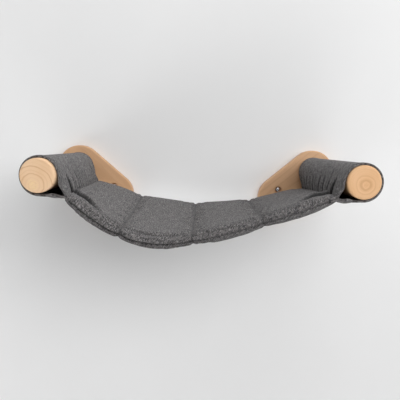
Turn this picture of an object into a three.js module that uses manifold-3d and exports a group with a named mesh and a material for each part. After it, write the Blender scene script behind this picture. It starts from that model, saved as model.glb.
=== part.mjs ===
// A wall-mounted hammock. Two identical pill-shaped boards are screwed to the wall, a round dowel
// stands out of each, and a quilted mat hangs between the dowels by a fabric sleeve at either end.
// Millimetres, +X to the right, +Y into the wall, +Z up. The origin is on the wall's face, midway
// between the dowels' axes and at their height.

import * as THREE from "three";
import { mergeVertices } from "three/addons/utils/BufferGeometryUtils.js";
import Module from "manifold-3d";

const wasm = await Module();
wasm.setup();

// ---- Driving dimensions --------------------------------------------------------------------------

const seatGap = 0.3; // between pieces that rest on each other

// Boards and dowels
const dowelSpacing = 470;
const dowelDiameter = 50;
const dowelLength = 330;
const dowelFrontRound = 3;
const dowelRearChamfer = 1;
const boardWidth = 85;
const boardCentreDistance = 85; // from the dowel's axis to the centre of the board's lower round end
const boardThickness = 20;
const boardFrontRound = 3;
const boardRearChamfer = 1;
const boardSlope = 40; // degrees below the horizontal

// The bolt that holds each dowel from behind
const boltDiameter = 8;
const boltLength = 40;
const boltTipTaper = 1.2;
const boltHeadDiameter = 13;
const boltHeadHeight = 8;
const boltHeadEasing = 0.6;
const boltSocketWidth = 6; // across flats
const boltSocketDepth = 4;
const boltHeadSink = 0.4; // below the board's back
const boltHoleDiameter = 8.8;
const washerDiameter = 16;
const washerThickness = 1.6;
const washerWellClearance = 1; // all round
const insertDiameter = 12;
const insertLength = 22;
const insertSink = 0.5;
const insertGrooves = 3;
const insertGrooveDepth = 0.6;
const boltTipClearance = 3;

// Wall screws and anchors, a pair at each board's lower end
const screwPairSpacing = 29;
const screwPairSetback = 7.5; // from the centre of the board's lower round end, back towards the dowel
const screwDiameter = 5;
const screwLength = 55;
const screwPointLength = 8;
const screwHeadDiameter = 10;
const screwHeadHeight = 3.5;
const screwHeadRim = 1.4; // the straight side of a pan head
const screwCrossWidth = 1.3;
const screwCrossSpan = 5;
const screwCrossDepth = 1.8;
const screwHoleDiameter = 5.8;
const screwWellDiameter = 15;
const screwWellDepth = 6;
const anchorDiameter = 8;
const anchorLength = 40;
const anchorBarb = 0.7; // how far each barb stands out
const anchorBarbs = 3;
const anchorTipWall = 0.4;
const anchorCollarDiameter = 11;
const anchorCollarThickness = 1;
const anchorReliefClearance = 1; // round the collar, in the board's back

// Hammock fabric
const sleeveThickness = 2.8;
const sleeveFarSlack = { left: 0.2, right: 2.6 }; // how far a sleeve stands off beside its dowel
const sleeveLowSlack = { left: 4.5, right: 2.4 }; // and below it
const sleeveUndersideSag = { left: 4, right: 3 };
const lipPull = 0.85; // how much of that slack the front hem takes up
const lipDepth = 40; // from the front hem to where the cloth hangs free
const lipHold = 0.4; // share of a run over which the mat's seam lets the hem draw in
const sleeveRearGap = 4; // to the board
const sleeveReveal = { left: 11, right: 6 }; // dowel left bare in front of the sleeve
const hemWidth = 10;
const hemFold = 0.8;
const gatherDepth = 1.3;
const gatherCount = 4;
const gatherSteps = 3; // rings of points for each gather
const seamTail = 10; // length of sleeve that is sewn between the mat's covers
const seamEase = 2;
const matReveal = 8; // from the dowels' front ends
const matRearGap = 8; // to the boards
const coverThickness = 1.2;
const coverSetback = 1.5; // from the sleeve's seam
const edgeRoll = 12; // depth of the mat's rounded edge
const matThickness = 21;
const seamThickness = 13;
const seamDrawIn = 5;
const cradleDip = 5; // how far the middle of the mat hangs below its front and rear edges
const channelWidths = [93.2, 109.5, 108.2]; // from the left; the last channel takes what is left
const pillowPower = 2.5; // the greater, the flatter the top of each channel

// Where the sleeves' seams lie: their distance from the dowels' surface, and degrees below the level
const leftSeamStandOff = 23.8;
const rightFrontSeamStandOff = 19.7;
const rightRearSeamStandOff = 18;
const leftSeamAngle = 39;
const rightFrontSeamAngle = 33;
const rightRearSeamAngle = 63;

// How the mat's edges leave those seams: their slope in degrees, and how far they hold on to it
const leftFrontSlope = 37.9;
const leftRearSlope = 23.5;
const rightFrontSlope = 20.6;
const rightRearSlope = 18.5;
const leftFrontPull = 125.9;
const leftRearPull = 146.4;
const rightFrontPull = 292.4;
const rightRearPull = 147;

// Facets
const dowelSides = 48;
const boltSides = 24;
const smallSides = 16;
const anchorSides = 12;
const boardEndSteps = 20;
const roundSteps = 3;
const channelSteps = 8;
const flatSteps = 4;
const wrapSteps = 16;
const wrapReach = 260; // degrees of a dowel, at most, that its sleeve lies round
const runSteps = 4;
const mergeReach = 1e-4; // points this near each other are one

// ---- Derived places ------------------------------------------------------------------------------

const dowelRadius = dowelDiameter / 2;
const boardFront = -boardThickness;
const dowelRear = boardFront - seatGap;
const dowelFront = dowelRear - dowelLength;
const matFront = dowelFront + matReveal;
const matRear = boardFront - matRearGap;
const sides = { left: -1, right: 1 };
const { degToRad: radians, smoothstep } = THREE.MathUtils;

// ---- Materials -----------------------------------------------------------------------------------

const finish = (color, roughness, metalness = 0) =>
  new THREE.MeshStandardMaterial({ color, roughness, metalness });
const pine = finish(0xe3c095, 0.6);
const canvas = finish(0x66666a, 0.95);
const lining = finish(0x5b5b60, 0.95);
const wadding = finish(0xf0eee8, 1);
const zinc = finish(0xc3c6ca, 0.3, 1);
const brass = finish(0xc9a45c, 0.35, 1);
const nylon = finish(0x9a9da1, 0.55);

// ---- Tools for making solids ---------------------------------------------------------------------

// Keeps position alone, joins shared vertices and turns the faces outwards.
function closed(geometry) {
  const plain = new THREE.BufferGeometry();
  plain.setAttribute("position", geometry.getAttribute("position").clone());
  if (geometry.index) plain.setIndex(geometry.index.clone());
  const merged = mergeVertices(plain, mergeReach);
  const corner = [0, 1, 2].map(() => new THREE.Vector3());
  const kept = [];
  let volume = 0;
  for (let i = 0; i < merged.index.count; i += 3) {
    const face = [0, 1, 2].map((k) => merged.index.getX(i + k));
    if (new Set(face).size < 3) continue;
    face.forEach((v, k) => corner[k].fromBufferAttribute(merged.attributes.position, v));
    volume += corner[0].dot(corner[1].clone().cross(corner[2]));
    kept.push(face);
  }
  const facing = volume < 0 ? kept.map(([a, b, c]) => [a, c, b]) : kept;
  return merged.setIndex(facing.flat());
}

function toManifold(geometry) {
  const g = closed(geometry);
  const vertProperties = new Float32Array(g.attributes.position.array);
  const triVerts = new Uint32Array(g.index.array);
  return new wasm.Manifold(new wasm.Mesh({ numProp: 3, vertProperties, triVerts }));
}

function cut(geometry, tools) {
  const body = tools.reduce((rest, tool) => rest.subtract(toManifold(tool)), toManifold(geometry));
  const { vertProperties, triVerts } = body.getMesh();
  const made = new THREE.BufferGeometry();
  made.setAttribute("position", new THREE.BufferAttribute(vertProperties, 3));
  return made.setIndex(new THREE.BufferAttribute(triVerts, 1));
}

// A shape turned about the Y axis from [radius, y] points. Where it doesn't start and end on the axis
// it closes itself.
function turned(profile, segments) {
  const points = profile.map(([radius, y]) => new THREE.Vector2(radius, y));
  if (profile[0][0] > 0) points.push(points[0].clone());
  return closed(new THREE.LatheGeometry(points, segments));
}

// A round hole along Y between two heights, as a solid to cut with.
function bore(diameter, yFrom, yTo, x = 0, z = 0, segments = boltSides) {
  const length = Math.abs(yTo - yFrom);
  const cylinder = new THREE.CylinderGeometry(diameter / 2, diameter / 2, length, segments);
  return cylinder.translate(x, (yFrom + yTo) / 2, z);
}

// Joins rings of points that have one number of points each. cap gives the triangles that close an
// end ring, as places in the ring. From place turnsBack on, the ring runs the other way, and its quads
// are split along the other diagonal.
function lofted(rings, cap, turnsBack = Infinity) {
  const count = rings[0].length;
  const index = [];
  for (let r = 0; r + 1 < rings.length; r++) {
    for (let i = 0; i < count; i++) {
      const a = r * count + i;
      const b = r * count + ((i + 1) % count);
      const [c, d] = [b + count, a + count];
      index.push(...(i < turnsBack ? [a, b, c, a, c, d] : [a, b, d, b, c, d]));
    }
  }
  const last = (rings.length - 1) * count;
  for (const [a, b, c] of cap) index.push(a, c, b, last + a, last + b, last + c);
  const geometry = new THREE.BufferGeometry().setFromPoints(rings.flat());
  return closed(geometry.setIndex(index));
}

const fanCap = (count) => Array.from({ length: count - 2 }, (_, i) => [0, i + 1, i + 2]);

// The cap of a flat band whose ring runs out along one face and back along the other.
function bandCap(count) {
  const half = count / 2;
  const cap = [];
  for (let i = 0; i + 1 < half; i++) {
    const [a, b, c, d] = [i, i + 1, count - 2 - i, count - 1 - i];
    cap.push([a, b, c], [a, c, d]);
  }
  return cap;
}

// A band's two faces are split alike, so that layers that lie on each other stay apart by the same gap
// everywhere.
const band = (rings) => lofted(rings, bandCap(rings[0].length), rings[0].length / 2);

const spread = (from, to, steps) =>
  Array.from({ length: steps + 1 }, (_, i) => from + ((to - from) * i) / steps);

function part(name, geometry, material) {
  const mesh = new THREE.Mesh(geometry, material);
  mesh.name = name;
  return mesh;
}

// ---- Wall board ----------------------------------------------------------------------------------

const screwZ = -(boardCentreDistance - screwPairSetback);
const screwXs = [-screwPairSpacing / 2, screwPairSpacing / 2];
const washerY = -(boltHeadSink + boltHeadHeight + seatGap); // the washer's back
const boltWellDepth = -washerY + washerThickness + seatGap;
const washerWellDiameter = washerDiameter + 2 * washerWellClearance;
const anchorReliefDiameter = anchorCollarDiameter + 2 * anchorReliefClearance;
const anchorReliefDepth = anchorCollarThickness + 2 * seatGap;
const cutPast = 1; // cutters run this far past a face

// The board's outline pulled in by inset, at depth y. It hangs straight down from the dowel's axis.
function pillRing(inset, y) {
  const radius = boardWidth / 2 - inset;
  const arc = (start, z) =>
    spread(start, start + Math.PI, boardEndSteps).map(
      (angle) => new THREE.Vector3(radius * Math.cos(angle), y, z + radius * Math.sin(angle)),
    );
  return [...arc(0, 0), ...arc(Math.PI, -boardCentreDistance)];
}

// [inset, depth] steps of an edge rounded over by radius, ending on the face at depth y.
const roundedEdge = (radius, y) =>
  spread(0, Math.PI / 2, roundSteps).map((angle) => [
    radius * (1 - Math.cos(angle)),
    y + radius * (1 - Math.sin(angle)),
  ]);

function wallBoard() {
  const rearEdge = [[boardRearChamfer, 0], [0, -boardRearChamfer]];
  const layers = [...rearEdge, ...roundedEdge(boardFrontRound, boardFront)];
  const rings = layers.map(([inset, y]) => pillRing(inset, y));
  const plank = lofted(rings, fanCap(rings[0].length));
  const pastFront = boardFront - cutPast;
  const boltHoles = [
    bore(washerWellDiameter, cutPast, -boltWellDepth),
    bore(boltHoleDiameter, 0, pastFront),
  ];
  const screwHoles = screwXs.flatMap((x) => [
    bore(anchorReliefDiameter, cutPast, -anchorReliefDepth, x, screwZ, smallSides),
    bore(screwHoleDiameter, 0, pastFront, x, screwZ, smallSides),
    bore(screwWellDiameter, boardFront + screwWellDepth, pastFront, x, screwZ),
  ]);
  return cut(plank, [...boltHoles, ...screwHoles]);
}

// ---- Dowel, insert, bolt and washer --------------------------------------------------------------

const insertHoleRadius = insertDiameter / 2 + seatGap;
const boltHeadBack = -boltHeadSink;
const boltHeadFront = boltHeadBack - boltHeadHeight;
const boltTip = boltHeadFront - boltLength;
const insertRear = dowelRear - insertSink;
const insertHoleEnd = Math.min(boltTip, insertRear - insertLength) - boltTipClearance;

function dowel() {
  const frontEdge = roundedEdge(dowelFrontRound, dowelFront);
  const profile = [
    [0, insertHoleEnd],
    [insertHoleRadius, insertHoleEnd],
    [insertHoleRadius, dowelRear],
    [dowelRadius - dowelRearChamfer, dowelRear],
    [dowelRadius, dowelRear - dowelRearChamfer],
    ...frontEdge.map(([inset, y]) => [dowelRadius - inset, y]),
    [0, dowelFront],
  ];
  return turned(profile, dowelSides);
}

function threadedInsert() {
  const outer = insertDiameter / 2;
  const inner = boltDiameter / 2 + seatGap;
  const root = outer - insertGrooveDepth;
  const groovePitch = insertLength / (insertGrooves + 1);
  const grooves = spread(1, insertGrooves, insertGrooves - 1).flatMap((n) => {
    const y = insertRear - n * groovePitch;
    const half = insertGrooveDepth; // the sides slope at 45 degrees to a floor as wide again
    return [[outer, y + 2 * half], [root, y + half], [root, y - half], [outer, y - 2 * half]];
  });
  const insertFront = insertRear - insertLength;
  const ends = [[outer, insertFront], [inner, insertFront]];
  return turned([[inner, insertRear], [outer, insertRear], ...grooves, ...ends], smallSides);
}

function dowelBolt() {
  const head = boltHeadDiameter / 2;
  const shank = boltDiameter / 2;
  const profile = [
    [0, boltHeadBack],
    [head - boltHeadEasing, boltHeadBack],
    [head, boltHeadBack - boltHeadEasing],
    [head, boltHeadFront],
    [shank, boltHeadFront],
    [shank, boltTip + boltTipTaper],
    [shank - boltTipTaper, boltTip],
    [0, boltTip],
  ];
  const hexSides = 6;
  const acrossCorners = boltSocketWidth / Math.cos(Math.PI / hexSides);
  const socketFloor = boltHeadBack - boltSocketDepth;
  const socket = bore(acrossCorners, boltHeadBack + cutPast, socketFloor, 0, 0, hexSides);
  return cut(turned(profile, boltSides), [socket]);
}

function boltWasher() {
  const inner = boltHoleDiameter / 2;
  const outer = washerDiameter / 2;
  const front = washerY - washerThickness;
  return turned([[inner, washerY], [outer, washerY], [outer, front], [inner, front]], boltSides);
}

// ---- Wall screw and anchor -----------------------------------------------------------------------

function wallScrew() {
  const seat = boardFront + screwWellDepth - seatGap;
  const top = seat - screwHeadHeight;
  const head = screwHeadDiameter / 2;
  const shank = screwDiameter / 2;
  const dome = spread(0, Math.PI / 2, roundSteps).map((angle) => [
    head * Math.cos(angle),
    seat - screwHeadRim - (screwHeadHeight - screwHeadRim) * Math.sin(angle),
  ]);
  dome[dome.length - 1][0] = 0;
  const tip = seat + screwLength;
  const profile = [[0, tip], [shank, tip - screwPointLength], [shank, seat], [head, seat], ...dome];
  const slot = (width, span) =>
    new THREE.BoxGeometry(width, 2 * screwCrossDepth, span).translate(0, top, 0);
  const cross = [slot(screwCrossWidth, screwCrossSpan), slot(screwCrossSpan, screwCrossWidth)];
  return cut(turned(profile, smallSides), cross);
}

function wallAnchor() {
  const inner = screwDiameter / 2 + seatGap;
  const body = anchorDiameter / 2;
  const collar = anchorCollarDiameter / 2;
  const barbPitch = anchorLength / (anchorBarbs + 1);
  const barbs = spread(1, anchorBarbs, anchorBarbs - 1).flatMap((n) => [
    [body - anchorBarb, n * barbPitch - barbPitch / 2],
    [body, n * barbPitch],
    [body - anchorBarb, n * barbPitch],
  ]);
  return turned(
    [
      [inner, -anchorCollarThickness],
      [collar, -anchorCollarThickness],
      [collar, 0],
      [body - anchorBarb, 0],
      ...barbs,
      [inner + anchorTipWall, anchorLength],
      [inner, anchorLength],
    ],
    anchorSides,
  );
}

// ---- How the mat hangs ---------------------------------------------------------------------------

const inPlane = (x, z) => new THREE.Vector2(x, z);

// One end of a curve along the mat: the sleeve's seam, and the handle that the slope and pull give.
function hungEnd(side, standOff, angle, slope, pull) {
  const reach = dowelRadius + standOff;
  const x = side * (dowelSpacing / 2 - reach * Math.cos(radians(angle)));
  const seam = inPlane(x, -reach * Math.sin(radians(angle)));
  const along = inPlane(-side * Math.cos(radians(slope)), -Math.sin(radians(slope)));
  return [seam, seam.clone().addScaledVector(along, pull)];
}

// The middle surface of the mat at one edge, from the left sleeve's seam to the right one.
const sagCurve = ([from, leaving], [to, arriving]) =>
  new THREE.CubicBezierCurve(from, leaving, arriving, to);

const frontSag = sagCurve(
  hungEnd(sides.left, leftSeamStandOff, leftSeamAngle, leftFrontSlope, leftFrontPull),
  hungEnd(sides.right, rightFrontSeamStandOff, rightFrontSeamAngle, rightFrontSlope, rightFrontPull),
);
const rearSag = sagCurve(
  hungEnd(sides.left, leftSeamStandOff, leftSeamAngle, leftRearSlope, leftRearPull),
  hungEnd(sides.right, rightRearSeamStandOff, rightRearSeamAngle, rightRearSlope, rightRearPull),
);
const matLength = frontSag.getLength();
const seams = [0];
for (const width of channelWidths) seams.push(seams[seams.length - 1] + width);
seams.push(matLength);

// A point of the mat: along it from the left seam, above its middle surface by rise, at depth y. Beyond
// either end it carries on straight.
function onMat(along, rise, y) {
  const share = THREE.MathUtils.clamp((y - matFront) / (matRear - matFront), 0, 1);
  const held = THREE.MathUtils.clamp(along, 0, matLength);
  const u = held / matLength;
  const at = frontSag.getPointAt(u).lerp(rearSag.getPointAt(u), share);
  const heading = frontSag.getTangentAt(u).lerp(rearSag.getTangentAt(u), share).normalize();
  const dip = cradleDip * Math.sin(Math.PI * u) * Math.sin(Math.PI * share);
  const past = along - held;
  const x = at.x + heading.x * past - heading.y * rise;
  const z = at.y + heading.y * past + heading.x * rise - dip;
  return new THREE.Vector3(x, y, z);
}

// 0 on a seam and 1 on the crown between seams.
const pillow = (share) => Math.sqrt(1 - Math.abs(2 * share - 1) ** pillowPower);

// ---- Mat covers and batting ----------------------------------------------------------------------

// From the middle surface to a cover, over a sleeve's tail
const sandwich = seatGap / 2 + sleeveThickness + seatGap;
const tailEnd = seamTail + coverSetback;

// Half the mat's thickness at a place along it.
function halfThickness(along) {
  const n = Math.max(1, seams.findIndex((end) => end >= along));
  const [from, to] = [seams[n - 1], seams[n]];
  const share = THREE.MathUtils.clamp((along - from) / (to - from), 0, 1);
  const atEnd = sandwich + coverThickness;
  const atSeam = seamThickness / 2;
  const first = n === 1 ? atEnd : atSeam;
  const last = n === seams.length - 1 ? atEnd : atSeam;
  const base = THREE.MathUtils.lerp(first, last, share);
  const crown = matThickness / 2;
  return { half: base + Math.max(0, crown - base) * pillow(share), full: pillow(share) };
}

// Places along the mat where its section is drawn: its ends, the ends of the sleeves' tails, and steps
// in each channel.
function alongSteps(start) {
  const inner = seams.slice(1, -1);
  const ends = [tailEnd, ...inner, matLength - tailEnd];
  const channel = (end, i) => spread(ends[i], end, channelSteps).slice(i ? 1 : 0);
  const steps = ends.slice(1).flatMap(channel);
  return start < tailEnd ? [start, ...steps, matLength - start] : steps;
}

// The mat's section front to back at one place, as [y, rise] points of a layer that lies inset under the
// cover's outer face. lip is the rise of the layer's edge.
function acrossSection(along, inset, lip) {
  const { half, full } = halfThickness(along);
  const drawIn = seamDrawIn * (1 - full) + inset;
  const roll = edgeRoll - inset;
  const top = Math.max(half - inset, lip);
  const corner = spread(0, Math.PI / 2, roundSteps).map((angle) => [
    roll * (1 - Math.cos(angle)),
    lip + (top - lip) * Math.sin(angle),
  ]);
  const front = corner.map(([y, rise]) => [matFront + drawIn + y, rise]);
  const rear = corner.map(([y, rise]) => [matRear - drawIn - y, rise]).reverse();
  const flat = spread(front[roundSteps][0], rear[0][0], flatSteps).slice(1, -1);
  return [...front, ...flat.map((y) => [y, top]), ...rear];
}

// The edge of a cover closes on the other cover, and lies on the sleeve's tail at both ends of the mat.
const lipAt = (along) => (along <= tailEnd || along >= matLength - tailEnd ? sandwich : seatGap / 2);

function matCover(up) {
  const rings = alongSteps(coverSetback).map((along) => {
    const place = ([y, rise]) => onMat(along, up * rise, y);
    const outer = acrossSection(along, 0, lipAt(along)).map(place);
    const inner = acrossSection(along, coverThickness, lipAt(along)).map(place);
    return [...outer, ...inner.reverse()];
  });
  return band(rings);
}

function matBatting() {
  const start = tailEnd + seatGap;
  const rings = alongSteps(start).map((along) => {
    const inset = coverThickness + seatGap;
    const section = acrossSection(along, inset, seatGap / 2);
    const top = section.map(([y, rise]) => onMat(along, rise, y));
    const bottom = section.map(([y, rise]) => onMat(along, -rise, y));
    return [...top, ...bottom.reverse()];
  });
  return band(rings);
}

// ---- Sleeves -------------------------------------------------------------------------------------

// The middle line of a sleeve's fabric at depth y: out of the mat's seam, over the dowel and back into
// the seam. gather pushes the upper run outwards, and pull draws the loop in round the dowel.
function sleevePath(name, y, gather, pull) {
  const side = sides[name];
  const axis = inPlane((side * dowelSpacing) / 2, 0);
  // The flats between the loop's points stay clear of the dowel.
  const facetRise = 1 / Math.cos(radians(wrapReach) / wrapSteps / 2);
  const wrapRadius = (dowelRadius + seatGap) * facetRise + sleeveThickness / 2;
  const onEnd = (inward, rise) => {
    const p = side < 0 ? onMat(inward, rise, y) : onMat(matLength - inward, rise, y);
    return inPlane(p.x, p.z);
  };
  const layer = seatGap / 2 + sleeveThickness / 2;
  const upper = [onEnd(seamTail, layer), onEnd(-seamEase, layer)];
  const lower = [onEnd(-seamEase, -layer), onEnd(seamTail, -layer)];

  // Angles run from straight above the dowel, outwards and down, to its inner side.
  const angleOf = (p) => {
    const rel = p.clone().sub(axis);
    return THREE.MathUtils.euclideanModulo(Math.atan2(side * rel.x, rel.y), 2 * Math.PI);
  };
  const touch = (p, radius) => Math.acos(radius / p.distanceTo(axis));
  const [farSlack, lowSlack] = [sleeveFarSlack[name], sleeveLowSlack[name]];
  const start = angleOf(upper[1]) + touch(upper[1], wrapRadius) - 2 * Math.PI;
  const end = angleOf(lower[0]) - touch(lower[0], wrapRadius + lowSlack);
  const wrap = spread(start, end, wrapSteps).map((angle) => {
    const beside = farSlack * smoothstep(angle, 0, Math.PI / 2);
    const below = (lowSlack - farSlack) * smoothstep(angle, Math.PI / 2, Math.PI);
    const radius = wrapRadius + (beside + below) * (1 - pull);
    return inPlane(axis.x + side * radius * Math.sin(angle), radius * Math.cos(angle));
  });

  // A run of fabric between the dowel and the seam, pushed outwards in the middle by bulge. Near the
  // dowel the pull draws it in.
  const run = (from, to, bulge, fromSeam) => {
    const across = to.clone().sub(from);
    const out = inPlane(-across.y, across.x).normalize().multiplyScalar(side);
    return spread(0, 1, runSteps)
      .slice(1, -1)
      .map((t) => {
        const p = from.clone().lerp(to, t).addScaledVector(out, bulge * Math.sin(Math.PI * t));
        const free = smoothstep(fromSeam ? t : 1 - t, 0, lipHold);
        const reach = p.distanceTo(axis);
        const drawn = wrapRadius + (reach - wrapRadius) * (1 - pull * free);
        return p.sub(axis).multiplyScalar(drawn / reach).add(axis);
      });
  };
  const upperRun = run(upper[1], wrap[0], gather, true);
  const lowerRun = run(wrap[wrapSteps], lower[0], sleeveUndersideSag[name], false);
  return [...upper, ...upperRun, ...wrap, ...lowerRun, ...lower];
}

// Moves each point of a path sideways by its offset, along the path's own normal.
function offsetPath(path, side, offsets) {
  return path.map((p, i) => {
    const ahead = path[Math.min(i + 1, path.length - 1)];
    const behind = path[Math.max(i - 1, 0)];
    const heading = ahead.clone().sub(behind);
    const out = inPlane(-heading.y, heading.x).normalize().multiplyScalar(side);
    return p.clone().addScaledVector(out, offsets[i]);
  });
}

const tailPoints = 2; // of each of a sleeve's tails, which the hem doesn't thicken
const hemStep = 1; // the hem ends over this length

function sleeve(name) {
  const side = sides[name];
  const front = dowelFront + sleeveReveal[name];
  const rear = boardFront - sleeveRearGap;
  const [frontHem, rearHem] = [front + hemWidth, rear - hemWidth];
  const middle = spread(frontHem + hemStep, rearHem - hemStep, gatherCount * gatherSteps);
  const rings = [front, frontHem, ...middle, rearHem, rear].map((y) => {
    const inHem = y <= frontHem || y >= rearHem;
    const turns = (gatherCount * (y - front)) / (rear - front);
    const gather = inHem ? 0 : gatherDepth * Math.sin(2 * Math.PI * turns);
    const pull = lipPull * (1 - smoothstep(y, front, front + lipDepth));
    const path = sleevePath(name, y, gather, pull);
    const outward = path.map((_, i) => {
      const free = i >= tailPoints && i < path.length - tailPoints;
      return sleeveThickness / 2 + (inHem && free ? hemFold : 0);
    });
    const inward = path.map(() => -sleeveThickness / 2);
    const place = (p) => new THREE.Vector3(p.x, y, p.y);
    const outer = offsetPath(path, side, outward).map(place);
    const inner = offsetPath(path, side, inward).map(place);
    return [...outer, ...inner.reverse()];
  });
  return band(rings);
}

// ---- Assembly ------------------------------------------------------------------------------------

// One side's board with its dowel and fasteners, turned so that the board slopes down towards the
// middle.
function bracket(name) {
  const side = sides[name];
  const group = new THREE.Group();
  group.position.x = (side * dowelSpacing) / 2;
  group.rotation.y = side * radians(90 - boardSlope);
  group.add(
    part(`${name}_wall_board`, wallBoard(), pine),
    part(`${name}_dowel`, dowel(), pine),
    part(`${name}_threaded_insert`, threadedInsert(), brass),
    part(`${name}_dowel_bolt`, dowelBolt(), zinc),
    part(`${name}_bolt_washer`, boltWasher(), zinc),
  );
  screwXs.forEach((x) => {
    const which = side * x < 0 ? "upper" : "lower";
    const screw = part(`${name}_wall_screw_${which}`, wallScrew(), zinc);
    const anchor = part(`${name}_wall_anchor_${which}`, wallAnchor(), nylon);
    for (const piece of [screw, anchor]) {
      piece.position.set(x, 0, screwZ);
      group.add(piece);
    }
  });
  return group;
}

function hammock() {
  const group = new THREE.Group();
  group.add(
    part("mat_top_cover", matCover(1), canvas),
    part("mat_bottom_cover", matCover(-1), lining),
    part("mat_batting", matBatting(), wadding),
    part("left_sleeve", sleeve("left"), canvas),
    part("right_sleeve", sleeve("right"), canvas),
  );
  return group;
}

const hammockOnWall = new THREE.Group();
hammockOnWall.add(bracket("left"), bracket("right"), hammock());

export default hammockOnWall;
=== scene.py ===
"""A quilted hammock slung between two wooden dowels on a wall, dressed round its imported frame.

Metres, +X to the right, +Y into the wall and +Z up. The origin is on the wall's face, midway
between the dowels' axes.
"""
import math

import bpy
import numpy as np
from mathutils import Matrix, Vector


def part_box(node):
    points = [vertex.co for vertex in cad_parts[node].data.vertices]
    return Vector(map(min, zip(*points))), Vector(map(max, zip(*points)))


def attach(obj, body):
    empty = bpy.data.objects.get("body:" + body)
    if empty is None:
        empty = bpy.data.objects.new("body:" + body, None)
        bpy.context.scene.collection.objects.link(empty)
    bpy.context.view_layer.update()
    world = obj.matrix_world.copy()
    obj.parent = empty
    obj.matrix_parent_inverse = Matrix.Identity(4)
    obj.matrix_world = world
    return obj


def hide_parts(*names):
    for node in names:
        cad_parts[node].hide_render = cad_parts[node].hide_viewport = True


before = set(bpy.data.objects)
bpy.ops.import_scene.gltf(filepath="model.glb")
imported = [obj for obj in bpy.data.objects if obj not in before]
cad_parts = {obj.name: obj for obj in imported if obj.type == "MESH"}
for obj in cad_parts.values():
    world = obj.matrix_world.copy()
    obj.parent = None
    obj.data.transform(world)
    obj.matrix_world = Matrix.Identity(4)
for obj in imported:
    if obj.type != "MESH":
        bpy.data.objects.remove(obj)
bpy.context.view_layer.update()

MM = 0.001

# ---- Sizes --------------------------------------------------------------------------------------

SEAT_GAP = 0.3 * MM
SIDES = {"left": -1, "right": 1}

DOWEL_SPACING = 470 * MM
DOWEL_RADIUS = 25 * MM
DOWEL_FRONT_ROUND = 3 * MM
DOWEL_REAR_CHAMFER = 1 * MM
BOARD_WIDTH = 85 * MM
BOARD_CENTRE_DISTANCE = 85 * MM
BOARD_THICKNESS = 20 * MM
BOARD_FRONT_ROUND = 3 * MM
BOARD_REAR_CHAMFER = 1 * MM
BOARD_TURN = math.radians(50)  # from hanging straight down to its slope

DOWEL_REAR = -BOARD_THICKNESS - SEAT_GAP
DOWEL_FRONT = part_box("left_dowel")[0].y
INSERT_HOLE_RADIUS = 6.3 * MM
INSERT_HOLE_DEPTH = 31.4 * MM

SLEEVE_THICKNESS = 2.8 * MM
# How far a sleeve stands off its dowel beside it and below it, how much its underside sags from
# there to the lower seam, and how much its upper run bulges.
FAR_SLACK = {"left": 0.2 * MM, "right": 2.6 * MM}
LOW_SLACK = {"left": 4.5 * MM, "right": 2.4 * MM}
UNDERSIDE_SAG = {"left": 4 * MM, "right": 6 * MM}
SLEEVE_BULGE = 1.6 * MM
LIP_PULL = 0.6  # the share of all that which the front hem takes up, and the rear one
REAR_PULL = 0.4
LIP_DEPTH = 40 * MM
FOLD_BACK = 46 * MM  # from a sleeve's front edge to the fold that its lip makes
SEAM_TAIL = 10 * MM
SEAM_EASE = 2 * MM
HEM_WIDTH = 10 * MM
HEM_FOLD = 0.8 * MM
HEM_STITCH_ROWS = (3 * MM, 8 * MM)  # from the hem's edge

MAT_FRONT = DOWEL_FRONT + 8 * MM
MAT_REAR = -BOARD_THICKNESS - 8 * MM
SEAM_THICKNESS = 13 * MM
SEAM_DRAW_IN = 5 * MM
CRADLE_DIP = 5 * MM
EDGE_ROLL = 9.5 * MM
COVER_THICKNESS = 1.2 * MM
COVER_SETBACK = 1.5 * MM
PILLOW_POWER = 2.5
CHANNEL_WIDTHS = (93.2 * MM, 109.5 * MM, 108.2 * MM)

# How the mat leaves each sleeve's seam: the seam's distance from the dowel's surface, its angle
# below the horizontal, the mat's slope there, and how far the curve holds on to that slope.
FRONT_HANG = {
    "left": (23.8 * MM, 39, 37.9, 125.9 * MM),
    "right": (19.7 * MM, 33, 20.6, 292.4 * MM),
}
REAR_HANG = {
    "left": (23.8 * MM, 39, 23.5, 146.4 * MM),
    "right": (18 * MM, 63, 18.5, 147 * MM),
}

THREAD_PITCH = 1.05 * MM  # of the canvas
STITCH_LENGTH = 3.2 * MM
STITCH_PITCH = 4.4 * MM
STITCH_WIDTH = 0.6 * MM


# ---- Finishes -----------------------------------------------------------------------------------

def sum_of(operation, swapped=False):
    """A method that works out one operation on a number and another."""

    def work_out(self, other):
        values = (other, self) if swapped else (self, other)
        return self.maths(operation, *values)

    return work_out


class Number:
    """A socket whose value varies over a surface. Sums on it add the nodes that work them out."""

    def __init__(self, finish, socket):
        self.finish = finish
        self.socket = socket

    def maths(self, operation, *values):
        return self.finish.node("ShaderNodeMath", {"operation": operation}, dict(enumerate(values)))

    __add__ = __radd__ = sum_of("ADD")
    __sub__ = sum_of("SUBTRACT")
    __rsub__ = sum_of("SUBTRACT", swapped=True)
    __mul__ = sum_of("MULTIPLY")
    __truediv__ = sum_of("DIVIDE")
    __pow__ = sum_of("POWER")

    def floor(self):
        return self.maths("FLOOR", self)

    def fraction(self):
        return self.maths("FRACT", self)

    def hump(self):
        """0 at every whole number and 1 halfway between."""
        return self.maths("ABSOLUTE", self.maths("SINE", self * math.pi))

    def between(self, low, high):
        """0 below low, 1 above high and a smooth step from one to the other."""
        limits = {"Value": self, "From Min": low, "From Max": high}
        return self.finish.node("ShaderNodeMapRange", {"interpolation_type": "SMOOTHSTEP"}, limits)


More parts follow.
